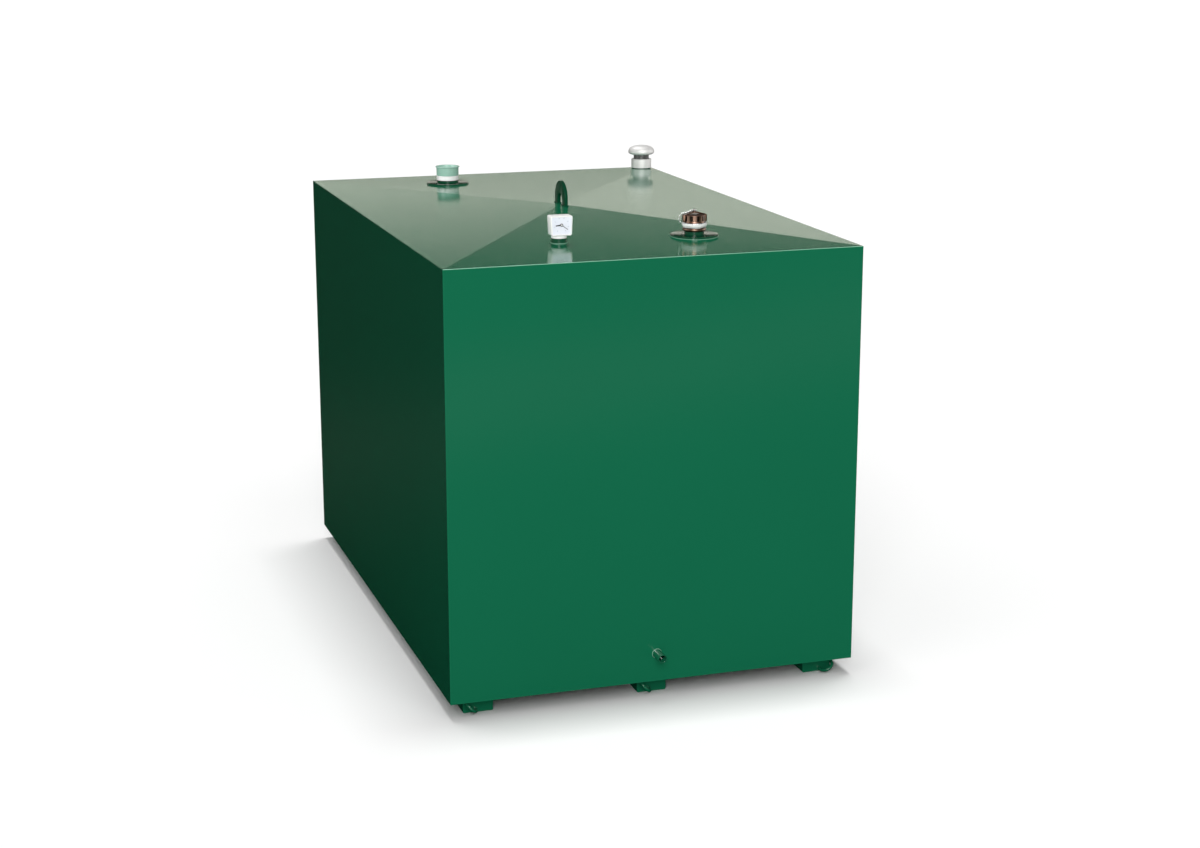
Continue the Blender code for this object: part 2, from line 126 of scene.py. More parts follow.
def studio_floor(name, height, shade):
    """A matt grey floor that shows in no reflection and casts no shadow."""
    data = bpy.data.meshes.new(name)
    data.from_pydata([(x * FLOOR_REACH, y * FLOOR_REACH, height) for x, y in SQUARE], [], [(0, 1, 2, 3)])
    paint, tree, shader, place = grained(f"Matt floor paint, {name}")
    data.materials.append(paint)
    shader.inputs["Base Color"].default_value = (shade, shade, shade, 1.0)
    shader.inputs["Roughness"].default_value = 0.9
    shader.inputs["Specular IOR Level"].default_value = 0.0
    made = bpy.data.objects.new(name, data)
    scene.collection.objects.link(made)
    made.visible_glossy = False
    made.visible_shadow = False
    return made


# The pale floor shows and catches the shadow. The darker one under it doesn't show, and throws the
# light back up at the tank.
floor = studio_floor("studio_floor", -0.0005, 0.9)
floor.visible_diffuse = False
bounce = studio_floor("bounce_floor", -0.0007, 0.38)
bounce.visible_camera = False

# Each light falls on some things only, which stand in collections. fit() sorts the tank's pieces.
groups = {name: bpy.data.collections.new(name) for name in (
    "floor_only", "tank_only", "body_only", "walls_only", "roof_only", "all_but_roof", "feet_only",
    "pipe_only", "fittings_only", "metals_only", "whites_only", "bright_only")}
groups["floor_only"].objects.link(floor)
groups["floor_only"].objects.link(bounce)

# The floor's lights: three wide suns, which give its shadow a direction, and a far, large ceiling
# panel, which gives the shadow its soft core. A direction of 0 is behind the tank and 90 on its right.
SUN_SPREAD = math.radians(30)
for name, direction, rise, level in (
    ("front_floor_light", 200, 27, 0.19),
    ("high_floor_light", 170, 55, 0.11),
    ("side_floor_light", 248, 55, 0.07),
):
    data = bpy.data.lights.new(name, "SUN")
    data.angle = SUN_SPREAD
    data.energy = level * math.pi / math.sin(math.radians(rise))
    sun = bpy.data.objects.new(name, data)
    sun.rotation_euler = (math.radians(rise - 90), 0, math.radians(-direction))
    scene.collection.objects.link(sun)
    sun.light_linking.receiver_collection = groups["floor_only"]
CEILING = 400.0
data = bpy.data.lights.new("ceiling_floor_light", "AREA")
data.shape = "RECTANGLE"
data.size = 0.375 * CEILING
data.size_y = 0.18 * CEILING
data.energy = 0.61 * (math.pi * CEILING) ** 2
ceiling = bpy.data.objects.new("ceiling_floor_light", data)
ceiling.location = (0.0375 * CEILING, 0.09 * CEILING, CEILING)
scene.collection.objects.link(ceiling)
ceiling.light_linking.receiver_collection = groups["floor_only"]


def soft_box(name, aim, direction, rise, reach, wide, tall, level, lit="tank_only", shades=None):
    """A soft box that faces its aim from a direction and a rise in degrees, at a reach in metres. Its
    level is a share of white, and falls on the lit pieces only, past all but those named as shades."""
    direction, rise = math.radians(direction), math.radians(rise)
    level_way = Vector((math.sin(direction), math.cos(direction), 0.0))
    way = level_way * math.cos(rise) + Vector((0.0, 0.0, math.sin(rise)))
    data = bpy.data.lights.new(name, "AREA")
    data.shape = "RECTANGLE"
    data.size = wide
    data.size_y = tall
    data.energy = level * (math.pi * reach) ** 2
    made = bpy.data.objects.new(name, data)
    made.location = Vector(aim) + way * reach
    made.rotation_euler = way.to_track_quat("Z", "Y").to_euler()
    made.visible_camera = False
    scene.collection.objects.link(made)
    made.light_linking.receiver_collection = groups[lit]
    if shades:
        made.light_linking.blocker_collection = groups[shades]


# The roof has a high key of its own, because the front keys would show in it as white patches from
# behind. The small boxes light what the large ones leave flat: the skids, the outlet and the fittings.
WALL, ROOF, MOUTH = (0.0, -0.9, 0.8), (0.0, 0.0, 1.3), (0.0, -0.93, 0.13)
soft_box("camera_side_key", WALL, 197, 27, 9.0, 4.0, 4.0, 0.44, "all_but_roof")
soft_box("roof_light", ROOF, 197, 74, 7.8, 3.0, 3.0, 0.47, "roof_only", "body_only")
soft_box("front_key", WALL, 175, 30, 9.0, 5.0, 5.0, 0.50, "walls_only", "body_only")
soft_box("back_top_light", ROOF, 5, 63, 7.8, 2.4, 2.4, 0.54, "body_only")
soft_box("bright_top_light", ROOF, 350, 63, 7.8, 4.0, 4.0, 0.46, "bright_only")
soft_box("front_strip", (1.96, -4.14, 0.0), 202.2, 0, 1.0, 5.0, 0.40, 0.10)
soft_box("low_light", (0.0, -0.9, 0.03), 185, 3, 3.0, 4.0, 0.4, 0.20, "feet_only", "feet_only")
soft_box("pipe_light", MOUTH, 262, 50, 1.5, 0.3, 0.3, 0.30, "pipe_only", "pipe_only")
soft_box("pipe_streak", MOUTH, 344.5, 24, 1.5, 0.25, 0.25, 0.03, "pipe_only", "pipe_only")
soft_box("left_light", ROOF, 262, 12, 5.5, 3.0, 3.0, 0.50, "whites_only", "fittings_only")
soft_box("streak_strip", ROOF, 197, -3, 5.2, 0.45, 3.2, 0.07, "fittings_only", "fittings_only")
for name, direction in (("front_card", 190), ("left_card", 275), ("right_card", 95)):
    soft_box(name, ROOF, direction, 6, 5.0, 4.0, 4.0, 0.26, "metals_only", "fittings_only")


# Skids: three long trays folded from 3 mm steel plate, with plates welded into their open ends.
# They carry the tank clear of the ground, and are powder-coated green with it.
def solid(name, parts, finish, at=(0.0, 0.0, 0.0), crease=40):
    """One mesh piece from (corners, faces) parts, smooth up to the crease angle in degrees."""
    corners, faces = [], []
    for part_corners, part_faces in parts:
        first = len(corners)
        corners += [tuple(corner) for corner in part_corners]
        faces += [tuple(first + k for k in face) for face in part_faces]
    data = bpy.data.meshes.new(name)
    data.from_pydata(corners, [], faces)
    data.shade_smooth()
    data.set_sharp_from_angle(angle=math.radians(crease))
    data.materials.append(finish)
    made = bpy.data.objects.new(name, data)
    made.location = at
    scene.collection.objects.link(made)
    return made


def fit(piece, slot, *nodes):
    """The tank is one rigid body. The piece stands for its nodes, which it hides, and its name and slot sort
    it into the collections that the lights fall on.
    """
    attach(piece, "root")
    if nodes:
        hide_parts(*nodes)
    name = piece.name
    white = slot in ("white_plastic", "white_seal", "pale_green_plastic", "dial_face")
    bright = white or slot in ("aluminium", "chain_steel")
    for group, belongs in {
        "tank_only": True,
        "roof_only": name.endswith("_roof"),
        "all_but_roof": not name.endswith("_roof"),
        "body_only": name.endswith(("_sheet", "_seams", "_roof")),
        "walls_only": name.endswith(("_sheet", "_seams")) or bright,
        "feet_only": "skid" in name or "loop" in name,
        "pipe_only": name.startswith("outlet"),
        "fittings_only": name.startswith(("fill", "cap", "dip", "gauge", "vent")),
        "metals_only": slot in ("bronze", "aluminium", "shaded_metal", "chain_steel"),
        "whites_only": white,
        "bright_only": bright,
    }.items():
        if belongs:
            groups[group].objects.link(piece)


def soften(line, turns=5, closed=False):
    """The points of a line of (across, up, radius) corners, with each corner rounded to its radius."""
    points = []
    for k, (across, up, radius) in enumerate(line):
        corner = Vector((across, up))
        if radius == 0 or (not closed and k in (0, len(line) - 1)):
            points.append(corner)
            continue
        back = (Vector(line[k - 1][:2]) - corner).normalized()
        on = (Vector(line[(k + 1) % len(line)][:2]) - corner).normalized()
        half = back.angle(on) / 2
        centre = corner + (back + on).normalized() * radius / math.sin(half)
        start = (corner + back * radius / math.tan(half) - centre).normalized()
        end = (corner + on * radius / math.tan(half) - centre).normalized()
        points += [centre + start.slerp(end, k / turns) * radius for k in range(turns + 1)]
    return points


def circle(radius, steps):
    """The (across, up) points of a circle about zero."""
    turns = [2 * math.pi * k / steps for k in range(steps)]
    return [(radius * math.cos(turn), radius * math.sin(turn)) for turn in turns]


def ringed(rings, closed=False):
    """A skin over rings of corners, which ends in a face at each end or goes on to the first ring."""
    sides, count = len(rings[0]), len(rings)
    corners = [corner for ring in rings for corner in ring]
    faces = []
    for k in range(count if closed else count - 1):
        here, there = k * sides, (k + 1) % count * sides
        for turn in range(sides):
            after = (turn + 1) % sides
            faces.append((here + turn, here + after, there + after, there + turn))
    if not closed:
        faces += [tuple(range(sides))[::-1], tuple(range((count - 1) * sides, count * sides))]
    return corners, faces


def drawn_out(outline, low, high, place):
    """A closed outline drawn out from low to high. place turns (across, up, along) into a point."""
    return ringed([[place(across, up, along) for across, up in outline] for along in (low, high)])


def tube(points, radius, closed=False, sides=12):
    """A round bar along the points. radius is one number, or one for each point."""
    points = [Vector(p) for p in points]
    count = len(points)
    radii = radius if isinstance(radius, list) else [radius] * count
    rings, side, before = [], None, None
    for k, point in enumerate(points):
        back = points[k - 1] if closed or k else point
        on = points[(k + 1) % count] if closed or k < count - 1 else point
        along = (on - back).normalized()
        if side is None:
            side = along.orthogonal().normalized()
        else:
            side = before.rotation_difference(along) @ side
            side = (side - along * side.dot(along)).normalized()
        before = along
        other = along.cross(side)
        turns = [2 * math.pi * turn / sides for turn in range(sides)]
        rings.append([point + (side * math.cos(turn) + other * math.sin(turn)) * radii[k] for turn in turns])
    return ringed(rings, closed)


def bead(route, size, closed=False, ripple=0.0022, depth=0.10, seed=1):
    """A weld bead laid along a route of points, with the ripples that its pool freezes in."""
    wobble = random.Random(seed)
    route = [Vector(p) for p in route]
    if closed:
        route.append(route[0])
    points, radii, travelled = [], [], 0.0
    for start, end in zip(route, route[1:]):
        steps = max(1, round((end - start).length / (ripple / 4)))
        for k in range(steps):
            points.append(start.lerp(end, k / steps))
            travelled += (end - start).length / steps
            swell = abs(math.sin(math.pi * travelled / ripple)) ** 0.6
            radii.append(size * (1 - depth + depth * swell + wobble.uniform(-0.02, 0.02)))
    if not closed:
        points.append(route[-1])
        radii.append(size * 0.8)
    return tube(points, radii, closed, sides=8)


def powder_coat(name, dark, light, edge_and_highlight_colour, edge_share, edge_reach, rough, shine=0.5):
    """A smooth coat with a fine orange-peel skin, painted paler over its edges: partly a thinner coat,
    partly a painted highlight.
    """
    made, tree, shader, place = grained(name)
    # The green drifts over half a metre, as the powder lands thicker and thinner, with a faint 4 mm
    # mottle. The gloss drifts over 40 mm.
    patch = add(tree, "TexNoise", {"Vector": place, "Scale": 2.2, "Detail": 2.0}).outputs[0]
    speck = add(tree, "TexNoise", {"Vector": place, "Scale": 260.0, "Detail": 1.0}).outputs[0]
    gloss = add(tree, "TexNoise", {"Vector": place, "Scale": 24.0, "Detail": 3.0}).outputs[0]
    tone = add(tree, "Math", {0: patch, 1: 0.6}, operation="MULTIPLY").outputs[0]
    tone = add(tree, "Math", {0: speck, 1: 0.4, 2: tone}, operation="MULTIPLY_ADD").outputs[0]
    flat = add(tree, "Mix", {0: tone, 6: linear(dark), 7: linear(light)}, data_type="RGBA")
    # The edges are painted paler where the bevelled normal turns: partly a thinner coat over them, partly a
    # painted highlight for the light line that they catch.
    rounded = add(tree, "Bevel", {"Radius": edge_reach}, samples=4).outputs[0]
    facing = add(tree, "NewGeometry").outputs["Normal"]
    bend = add(tree, "VectorMath", {0: rounded, 1: facing}, operation="DOT_PRODUCT")
    thin_edge_and_highlight_mask = add(tree, "MapRange", {
        "Value": bend.outputs["Value"], "From Min": 0.98, "From Max": 0.75, "To Max": edge_share,
    }).outputs[0]
    pale_edge_and_highlight = linear(edge_and_highlight_colour)
    green = add(tree, "Mix", {0: thin_edge_and_highlight_mask, 6: flat.outputs[2], 7: pale_edge_and_highlight}, data_type="RGBA")
    tree.links.new(green.outputs[2], shader.inputs["Base Color"])
    low, high = rough - 0.006, rough + 0.006
    gloss = add(tree, "MapRange", {"Value": gloss, "To Min": low, "To Max": high})
    tree.links.new(gloss.outputs[0], shader.inputs["Roughness"])
    # Real orange peel has dimples of 1 to 3 mm. These are 6 mm, with finer ones on them, so that they show.
    peel = add(tree, "TexNoise", {"Vector": place, "Scale": 170.0, "Detail": 3.0}).outputs[0]
    relief = add(tree, "Bump", {"Height": peel, "Strength": 1.0, "Distance": 0.00022})
    tree.links.new(relief.outputs[0], shader.inputs["Normal"])
    shader.inputs["IOR"].default_value = 1.5
    shader.inputs["Specular IOR Level"].default_value = shine
    return made


# Stoved polyester powder on clean steel: a deep, even green that mirrors the studio a little blurred.
coat = powder_coat("Green semi-gloss powder coat", "#106546", "#126a4a", "#2b8a68",
                   edge_share=0.35, edge_reach=0.0025, rough=0.115)

SKID_SHEET = 0.003
SKID_FOLD = 0.0042
TRAY_INSET = 0.0008
END_WELD = 0.0014
END_WELD_INSET = 0.0012
END_WELD_STOP = 0.004


def tray_line(half, up, fold, lip):
    """The U of a folded tray, from its right lip down, across and up to its left lip."""
    return soften([(half, lip, 0), (half, up, fold), (-half, up, fold), (-half, lip, 0)])


for side in ("left", "centre", "right"):
    low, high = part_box(side + "_skid")
    wide, tall = high.x - low.x, high.z - low.z
    middle = (low.x + high.x) / 2
    inner = (wide / 2 - SKID_SHEET, SKID_SHEET, SKID_FOLD - SKID_SHEET)

    def upright(across, up, along):
        return (middle + across, along, up)

    section = tray_line(wide / 2, 0, SKID_FOLD, tall) + tray_line(*inner, tall)[::-1]
    parts = [drawn_out(section, low.y + TRAY_INSET, high.y - TRAY_INSET, upright)]
    seams = []
    for end, face in ((-1, low.y), (1, high.y)):
        near, far = sorted((face, face - end * SKID_SHEET))
        parts.append(drawn_out(tray_line(*inner, tall), near, far, upright))
        line = tray_line(*inner, tall - END_WELD_STOP)
        seams.append(bead([upright(a, u, face - end * END_WELD_INSET) for a, u in line], END_WELD, seed=7))
    fit(solid(side + "_skid_tray", parts, coat), "green_coat", side + "_skid")
    fit(solid(side + "_skid_end_welds", seams, coat, crease=60), "green_coat")


# Rod loops: 9.5 mm round bar bent to a U and welded by its two feet to each end of every skid, to
# take a rope or hook. The coat runs over the weld beads round their feet.
ROD = 0.0095
LOOP_SPACING = 0.0404
LOOP_STRAIGHT = 0.0073
LOOP_STUB = 0.002
LOOP_HEIGHT = 0.0100
LOOP_OFFSET = 0.008
LOOP_DROOP = math.radians(16)
LOOP_LEAN = {"left": math.radians(134), "centre": math.radians(134), "right": math.radians(32)}
LOOP_WELD = 0.0019
LOOP_WELD_RING = ROD / 2 + 0.0006
LOOP_WELD_PROUD = 0.0004
for side, lean in LOOP_LEAN.items():
    low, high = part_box(side + "_skid")
    for end, name, face in ((-1, "front", low.y), (1, "rear", high.y)):
        across = Vector((math.cos(lean), 0, math.sin(lean)))
        reach = Vector((0, end * math.cos(LOOP_DROOP), -math.sin(LOOP_DROOP)))
        reach = (reach - across * reach.dot(across)).normalized()
        middle = (low.x + high.x) / 2 + math.copysign(LOOP_OFFSET, across.x)
        foot = Vector((middle, face, LOOP_HEIGHT))
        start = foot + Vector((0, end * LOOP_STUB, 0))
        radius = LOOP_SPACING / 2
        rod = [foot, start]
        for turn in [math.pi * (1 - k / 32) for k in range(33)]:
            rod.append(start + across * (radius + radius * math.cos(turn)) +
                       reach * (LOOP_STRAIGHT + radius * math.sin(turn)))
        feet = (foot, foot + across * LOOP_SPACING)
        rod += [start + across * LOOP_SPACING, feet[1]]
        fit(solid(f"{side}_{name}_rod_loop", [tube(rod, ROD / 2, sides=20)], coat), "green_coat",
            f"{side}_{name}_loop")
        rings = []
        for centre in feet:
            ring = [centre + Vector((a, end * LOOP_WELD_PROUD, u)) for a, u in circle(LOOP_WELD_RING, 28)]
            rings.append(bead(ring, LOOP_WELD, closed=True, seed=3))
        fit(solid(f"{side}_{name}_loop_welds", rings, coat, crease=60), "green_coat")


# Body: a floor plate and four walls of 3 mm sheet that meet at their inner corners. The welds that fill the
# open edges are ground to a small round and coated, so each edge shows as a thin light line, partly from
# that round and partly a painted highlight in the coat's paler edges.
SHEET = 0.003
EDGE = 0.0013
RIMS = ((0.0, EDGE), (SHEET, SHEET))
roof_low, roof_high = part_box("roof_panel")
half_wide, half_long, peak = roof_high
foot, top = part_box("floor_plate")[0].z, roof_low.z + SHEET


def wall_height(share, inset):
    """A height on the walls, from -1 at their foot to 1 at their top, less the inset of the rim."""
    return (foot + top) / 2 + share * ((top - foot) / 2 - inset)


def sheet(corner_at):
    """A flat sheet whose rim slopes in. corner_at gives a corner from its depth, its place and its inset."""
    corners = [corner_at(depth, across, up, inset) for depth, inset in RIMS for across, up in SQUARE]
    return corners, [(0, 1, 2, 3), (7, 6, 5, 4), (0, 4, 5, 1), (1, 5, 6, 2), (2, 6, 7, 3), (3, 7, 4, 0)]


sheets = {
    "floor_plate": lambda deep, a, u, rim: (-a * (half_wide - rim), u * (half_long - rim), foot + deep),
    "back_wall": lambda deep, a, u, rim: (-a * (half_wide - rim), half_long - deep, wall_height(u, rim)),
    "left_wall": lambda deep, a, u, rim: (deep - half_wide, -a * (half_long - rim), wall_height(u, rim)),
    "right_wall": lambda deep, a, u, rim: (half_wide - deep, a * (half_long - rim), wall_height(u, rim)),
}
for name, corner_at in sheets.items():
    fit(solid(name + "_sheet", [sheet(corner_at)], coat), "green_coat", name)

# The front wall has a hole for the outlet. A square patch round it joins its ring to the sheet's rim.
pipe_low, pipe_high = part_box("outlet_nipple")
OUTLET = Vector((0.0, -half_long, (pipe_low.z + pipe_high.z) / 2))
OUTLET_HOLE = 0.0136
HOLE_SIDES = 48
HOLE_PATCH = 0.05
hole = circle(OUTLET_HOLE, HOLE_SIDES)
patch = [(a * HOLE_PATCH / max(abs(a), abs(u)), u * HOLE_PATCH / max(abs(a), abs(u))) for a, u in hole]
corners = [(a, depth - half_long, OUTLET.z + u) for depth in (0.0, SHEET)
           for line in (hole, patch) for a, u in line]
faces = []
for k in range(HOLE_SIDES):
    hole_front, patch_front, hole_back, patch_back = range(k, 4 * HOLE_SIDES, HOLE_SIDES)
    step = (k + 1) % HOLE_SIDES - k
    faces.append((hole_front, patch_front, patch_front + step, hole_front + step))
    faces.append((hole_back, hole_back + step, patch_back + step, patch_back))
    faces.append((hole_front, hole_front + step, hole_back + step, hole_back))
first = len(corners)
corners += [(a * (half_wide - inset), depth - half_long, wall_height(u, inset)) for depth, inset in RIMS
            for a, u in SQUARE]
patch_corners = [HOLE_SIDES * eighths // 8 for eighths in (5, 7, 1, 3)]
for k in range(4):
    n = (k + 1) % 4
    steps = (patch_corners[n] - patch_corners[k]) % HOLE_SIDES
    run = [(patch_corners[k] + step) % HOLE_SIDES for step in range(steps, -1, -1)]
    faces.append((first + k, first + n, *[HOLE_SIDES + p for p in run]))
    faces.append((first + 4 + k, first + 4 + n, *[3 * HOLE_SIDES + p for p in run])[::-1])
    faces.append((first + n, first + k, first + 4 + k, first + 4 + n))
fit(solid("front_wall_sheet", [(corners, faces)], coat), "green_coat", "front_wall")

SEAM_STEP = 0.012
SEAM_WANDER = 0.03
ground = random.Random(11)


def ground_seam(start, end):
    """A weld ground to a small round, with a ball at its end where it meets the next one."""
    start, end = Vector(start), Vector(end)
    along = (end - start).normalized()
    count = round((end - start).length / SEAM_STEP)
    points = [start.lerp(end, k / count) for k in range(count + 1)]
    radii = [EDGE * (1 - ground.uniform(0.0, SEAM_WANDER)) for _ in points]
    for k in range(1, 4):
        turn = math.pi / 2 * k / 4
        points = [start - along * EDGE * math.sin(turn)] + points + [end + along * EDGE * math.sin(turn)]
        radii = [EDGE * math.cos(turn)] + radii + [EDGE * math.cos(turn)]
    return tube(points, radii, sides=16)


# A pale green painted on ground welds and weld beads: a painted highlight for the fine light line along
# their edges.
painted_highlight_coat = powder_coat("Pale green coat, painted highlight on the welds", "#80b59c", "#93c5ae", "#93c5ae",
                        edge_share=0.35, edge_reach=0.001, rough=0.2)
seam_x, seam_y, seam_foot, seam_top = half_wide - EDGE, half_long - EDGE, foot + EDGE, top - EDGE
posts = [ground_seam((s * seam_x, t * seam_y, seam_foot), (s * seam_x, t * seam_y, seam_top))
         for s in (-1, 1) for t in (-1, 1)]
fit(solid("corner_seams", posts, coat), "green_coat")
for name, height in (("foot_seams", seam_foot), ("roof_seams", seam_top)):
    runs = [ground_seam((s * seam_x, -seam_y, height), (s * seam_x, seam_y, height)) for s in (-1, 1)]
    runs.append(ground_seam((-seam_x, seam_y, height), (seam_x, seam_y, height)))
    fit(solid(name, runs, coat), "green_coat")
# The front roof seam alone is painted pale: a painted highlight along the tank's front top edge.
for name, height, finish in (
    ("front_foot_seams", seam_foot, coat),
    ("front_roof_seams", seam_top, painted_highlight_coat),
):
    run = ground_seam((-seam_x, -seam_y, height), (seam_x, -seam_y, height))
    fit(solid(name, [run], finish), "green_coat")


# Roof: one 3 mm sheet, cross-broken from corner to corner so that rain runs off its raised middle,
# and welded along all four edges to the walls.
ROOF_LAP = 0.0001
rim_height = top + (peak - top) * EDGE / half_wide - ROOF_LAP
corners = []
for under in (0.0, SHEET):
    corners += [(p * seam_x, q * seam_y, rim_height - under) for p, q in SQUARE] + [(0, 0, peak - under)]
faces = [(k, (k + 1) % 4, 4) for k in range(4)] + [((k + 1) % 4 + 5, k + 5, 9) for k in range(4)]
faces += [((k + 1) % 4, k, k + 5, (k + 1) % 4 + 5) for k in range(4)]
fit(solid("cross_broken_roof", [(corners, faces)], coat, crease=0.5), "green_coat", "roof_panel")


def roof_height(across, along):
    """The height of the roof's upper face at a place."""
    return peak - (peak - top) * max(abs(across) / half_wide, abs(along) / half_long)


# Lifting eye: a plate cut from 10 mm steel, its edges dressed, standing across the peak and
# welded down both sides of each foot.
# Its coat is painted a darker green than the body's, as painted shade, and is duller, with hardly a
# highlight on its faces.
shade_painted_eye_coat = powder_coat("Green powder coat on the lifting eye, with painted shade", "#0c5639", "#0e5c3e", "#2b8a68",
                       edge_share=0.5, edge_reach=0.0009, rough=0.3, shine=0.12)
low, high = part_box("lifting_eye")
EYE_THICK = high.x - low.x
EYE_RADIUS = (high.y - low.y) / 2
EYE_STRAIGHT = 0.0200
EYE_SLOT = 0.046 / 2
EYE_SLOT_STRAIGHT = 0.0112
EYE_ROUND = 0.0008
EYE_WELD = 0.0026


def arch(radius, foot_slope, straight, steps):
    """Half a circle on two straight legs, from its right foot to its left one."""
    turns = [math.pi * k / steps for k in range(steps + 1)]
    over = [(radius * math.cos(turn), straight + radius * math.sin(turn)) for turn in turns]
    return [(radius, -foot_slope * radius)] + over + [(-radius, -foot_slope * radius)]


def eye_ring(depth, inset):
    """The plate's outline at a depth, with its edge set in by the rounding."""
    slope = (peak - top) / half_long
    line = arch(EYE_RADIUS - inset, slope, EYE_STRAIGHT, 40)
    line += arch(EYE_SLOT + inset, slope, EYE_SLOT_STRAIGHT, 28)[::-1]
    return [(depth, along, peak + up) for along, up in reversed(line)]


layers = [(EYE_THICK / 2, EYE_ROUND), (EYE_THICK / 2 - EYE_ROUND * 0.3, EYE_ROUND * 0.3),
          (EYE_THICK / 2 - EYE_ROUND, 0.0)]
layers += [(-depth, inset) for depth, inset in reversed(layers)]
plate = ringed([eye_ring(depth, inset) for depth, inset in layers])
fit(solid("lifting_eye_plate", [plate], shade_painted_eye_coat), "green_coat", "lifting_eye")
welds = []
for sign in (-1, 1):
    near, far = sign * EYE_SLOT, sign * EYE_RADIUS
    half = EYE_THICK / 2 + 0.0005
    route = [(-half, near), (half, near), (half, far), (-half, far)]
    welds.append(bead([(p, q, roof_height(p, q) + 0.0004) for p, q in route], EYE_WELD, closed=True, seed=5))
fit(solid("lifting_eye_welds", welds, shade_painted_eye_coat, crease=60), "green_coat")


# Outlet: a short stub of 3/4 inch steel pipe through a hole near the foot of the front wall, fixed
# with a fillet weld. Its mouth is faced off and tapped.
def turned(line, steps=96, closed=False):
    """A line of (radius, height) points turned about Z, from the axis or round a ring."""
    corners, faces, starts = [], [], []
    for radius, height in line:
        starts.append(len(corners))
        if radius < 1e-7:
            corners.append((0.0, 0.0, height))
        else:
            corners += [(p, q, height) for p, q in circle(radius, steps)]
    pairs = list(zip(range(len(line)), range(1, len(line))))
    if closed:
        pairs.append((len(line) - 1, 0))
    for here, there in pairs:
        for k in range(steps):
            n = (k + 1) % steps
            one = [starts[here]] if line[here][0] < 1e-7 else [starts[here] + k, starts[here] + n]
            two = [starts[there]] if line[there][0] < 1e-7 else [starts[there] + n, starts[there] + k]
            faces.append(tuple(one + two)[::-1])
    return corners, faces


def turned_to(part, turn, at=(0, 0, 0)):
    """A part turned by a matrix and moved."""
    corners, faces = part
    return [turn @ Vector(corner) + Vector(at) for corner in corners], faces


PIPE = (pipe_high.x - pipe_low.x) / 2
PIPE_REACH = -half_long - pipe_low.y
PIPE_TAIL = -0.006
BORE = 0.0213 / 2
THREAD_PITCH = 0.00181
THREAD_FLANKS = 28
OUTLET_WELD = 0.0014
facing_front = Matrix.Rotation(math.radians(90), 3, "X")
line = [(BORE + 0.0008, PIPE_REACH, 0.0), (PIPE, PIPE_REACH, 0.0007), (PIPE, 0.0, 0.0),
        (PIPE, PIPE_TAIL, 0.0003), (BORE, PIPE_TAIL, 0.0003)]
thread = [(BORE + (0.0005 if k % 2 else -0.0001), PIPE_REACH - 0.001 - k * THREAD_PITCH / 2)
          for k in range(THREAD_FLANKS)]
pipe = turned(soften(line, closed=True) + [Vector(p) for p in reversed(thread)], closed=True)
pipe = turned_to(pipe, facing_front, OUTLET)
fit(solid("outlet_pipe", [pipe], coat, crease=30), "green_coat", "outlet_nipple")
# The weld ring round the pipe is painted pale, a painted highlight.
ring = [OUTLET + Vector((a, 0, u)) for a, u in circle(PIPE, 64)]
fit(solid("outlet_weld", [bead(ring, OUTLET_WELD, closed=True, seed=9)], painted_highlight_coat, crease=60), "green_coat")


# Fill point: a welded flange and threaded socket with a bronze base, a soft washer and a bronze
# lugged cap, which a light plated chain holds to the base.
# The same powder coat, painted a darker green on these small parts as painted shade, with paler edges that
# are partly a thinner coat and partly a painted highlight.
shade_painted_fitting_coat = powder_coat("Green powder coat on the fittings", "#0a5539", "#0c5b3e", "#5fa588",
                           edge_share=0.8, edge_reach=0.0009, rough=0.2)
# On the flanges the coat is painted darker as painted shade, and their edges near white as painted
# highlights.
shade_and_highlight_flange_coat = powder_coat("Green powder coat on the flanges", "#0a5539", "#0c5b3e", "#9fd0b6",
                          edge_share=0.95, edge_reach=0.0011, rough=0.115)
FLANGE = 0.140 / 2
FLANGE_ROUND = 0.0007
FLANGE_TOP = 0.0048
FLANGE_WELD = 0.0012


def plug(radius, above, rounding, below=-0.001):
    """The half profile of a plain round plug between two heights, rounded at its upper edge."""
    return soften([(0, above, 0), (radius, above, rounding), (radius, below, 0), (0, below, 0)])


def station(across, along):
    """A place on the roof for a fitting to stand."""
    return Vector((across, along, roof_height(across, along)))


def flange(name, at, top_height, weld_finish):
    """A level disc on the sloping roof, its foot cut to the roof and welded round."""
    def slope(p, q):
        return roof_height(at.x + p, at.y + q) - at.z

    corners, faces = turned(plug(FLANGE, top_height, FLANGE_ROUND), steps=160)
    corners = [(p, q, up if up > 0 else slope(p, q) - 0.0005) for p, q, up in corners]
    fit(solid(name + "_disc", [(corners, faces)], shade_and_highlight_flange_coat, at), "green_coat", name)
    ring = [(p, q, slope(p, q) + 0.0002) for p, q in circle(FLANGE + 0.0002, 128)]
    weld = bead(ring, FLANGE_WELD, closed=True, depth=0.05, seed=4)
    fit(solid(name + "_weld", [weld], weld_finish, at, crease=60), "green_coat")


FILL = station(0.2078, -0.6252)
# The fill flange's weld is painted pale, a painted highlight.
flange("fill_flange", FILL, FLANGE_TOP, painted_highlight_coat)
seat = FILL + Vector((0, 0, FLANGE_TOP))
socket = turned(plug(0.0286, 0.0089, 0.001))
fit(solid("fill_socket_pipe", [socket], shade_painted_fitting_coat, seat), "green_coat", "fill_socket")


def mottled(name, size, dark, light, detail=2.0, **constants):
    """A material whose colour drifts between two shades over patches of a size in millimetres. Its
    shader's constants are given by the names of their sockets, in small letters."""
    made, tree, shader, place = grained(name)
    patches = {"Vector": place, "Scale": 1000 / size, "Detail": detail}
    drift = add(tree, "TexNoise", patches).outputs[0]
    shade = add(tree, "Mix", {0: drift, 6: linear(dark), 7: linear(light)}, data_type="RGBA")
    tree.links.new(shade.outputs[2], shader.inputs["Base Color"])
    for socket, value in constants.items():
        shader.inputs[socket.replace("_", " ").title()].default_value = value
    return made, tree, shader, place, drift


